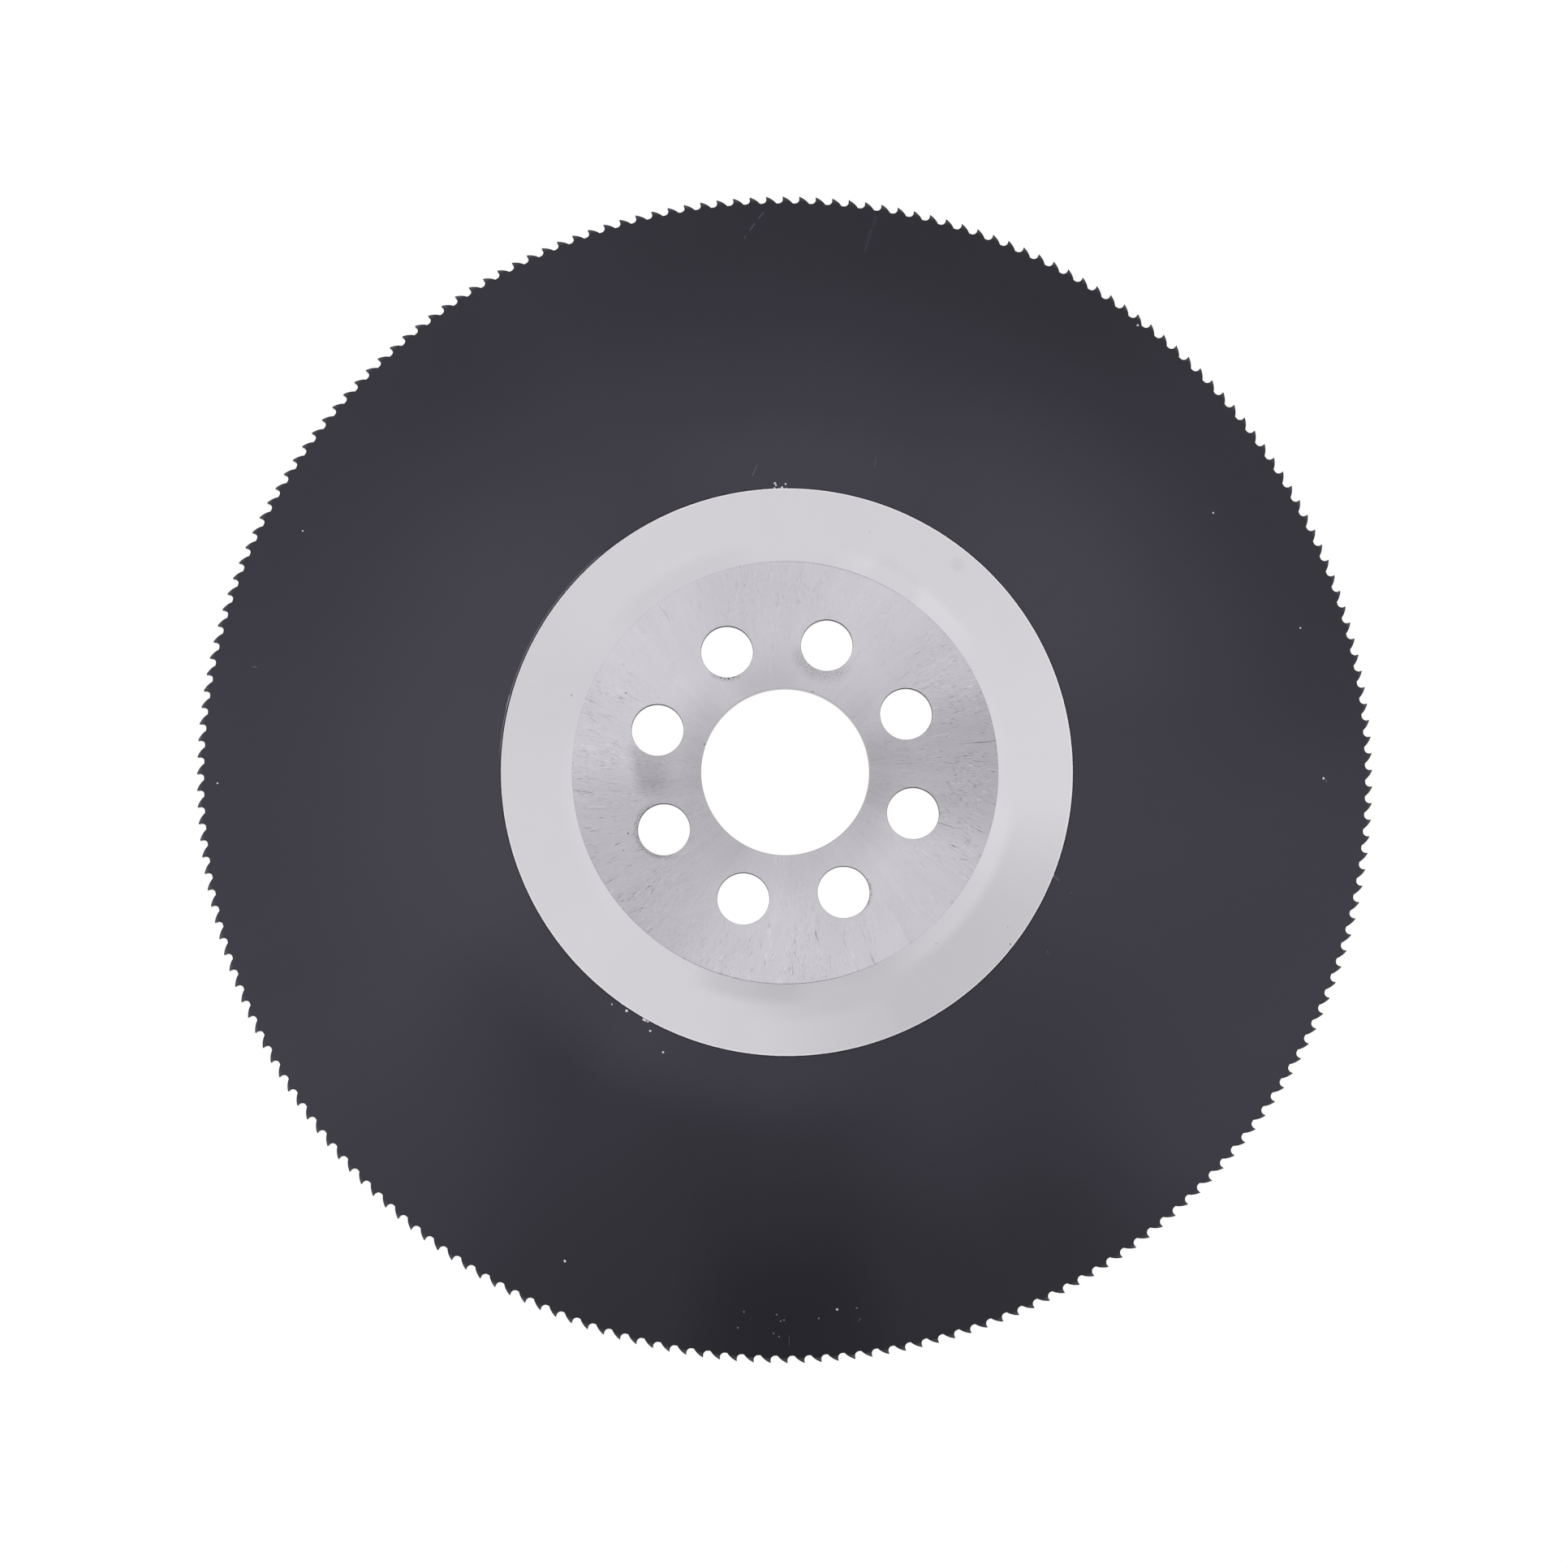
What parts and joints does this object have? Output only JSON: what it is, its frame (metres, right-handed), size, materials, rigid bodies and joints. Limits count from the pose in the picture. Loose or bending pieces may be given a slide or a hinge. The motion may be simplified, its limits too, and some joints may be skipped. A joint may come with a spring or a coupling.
{
  "type": "cold saw blade",
  "caption": "Flat round saw blade with a fine toothed rim, a hollow-ground web, a hub land with a centre bore and drive pin holes around it.",
  "frame": {"origin": "centre of the bore, halfway through the blade's thickness", "axes": "+Z along the bore axis, out of the face from which the tooth tips point anticlockwise; +X and +Y lie midway between neighbouring holes of the first set of drive pin holes"},
  "size_m": [0.35, 0.35, 0.003],
  "materials": {
    "blade_steel": "dark violet-grey hard coating from the teeth in to a bare ground steel centre"
  },
  "bodies": {
    "root": {"saw_blade": "blade_steel"}
  },
  "joints": []
}
